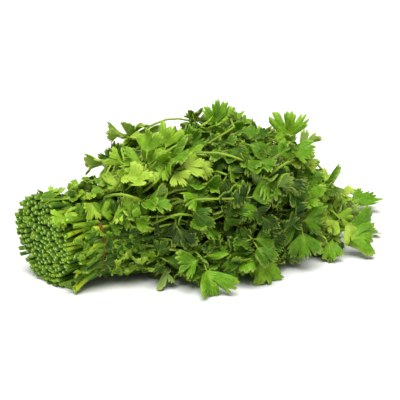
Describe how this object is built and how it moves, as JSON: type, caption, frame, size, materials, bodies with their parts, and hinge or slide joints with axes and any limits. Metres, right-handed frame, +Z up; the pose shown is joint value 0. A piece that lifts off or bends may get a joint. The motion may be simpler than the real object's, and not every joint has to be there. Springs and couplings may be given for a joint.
{
  "type": "coriander bunch",
  "caption": "Fresh coriander tied in a bunch and lying on its side, with pale cut stems packed at one end, a narrow brown tie and a mound of lobed green leaves.",
  "frame": {"origin": "on the table, under the middle of the bunch's box", "axes": "+X along the bunch from the cut stem ends to the leaf tips, +Y across it, +Z up"},
  "size_m": [0.2862, 0.1554, 0.1101],
  "materials": {
    "herb_leaf": "fresh coriander leaf: satin green, paler and greyer underneath, lets light through",
    "herb_stem": "fresh coriander stem: smooth ribbed pale yellow-green skin with a soft gloss, moist cut ends",
    "tie_band": "narrow brown rubber band, matt with a faint sheen"
  },
  "bodies": {
    "root": {"leafy_stems_01": "herb_leaf", "leafy_stems_02": "herb_leaf", "leafy_stems_03": "herb_leaf", "leafy_stems_04": "herb_leaf", "leafy_stems_05": "herb_leaf", "leafy_stems_06": "herb_leaf", "leafy_stems_07": "herb_leaf", "leafy_stems_08": "herb_leaf", "leafy_stems_09": "herb_leaf", "leafy_stems_10": "herb_leaf", "leafy_stems_11": "herb_leaf", "leafy_stems_12": "herb_leaf", "leafy_stems_13": "herb_leaf", "leafy_stems_14": "herb_leaf", "tie": "tie_band"}
  },
  "joints": []
}
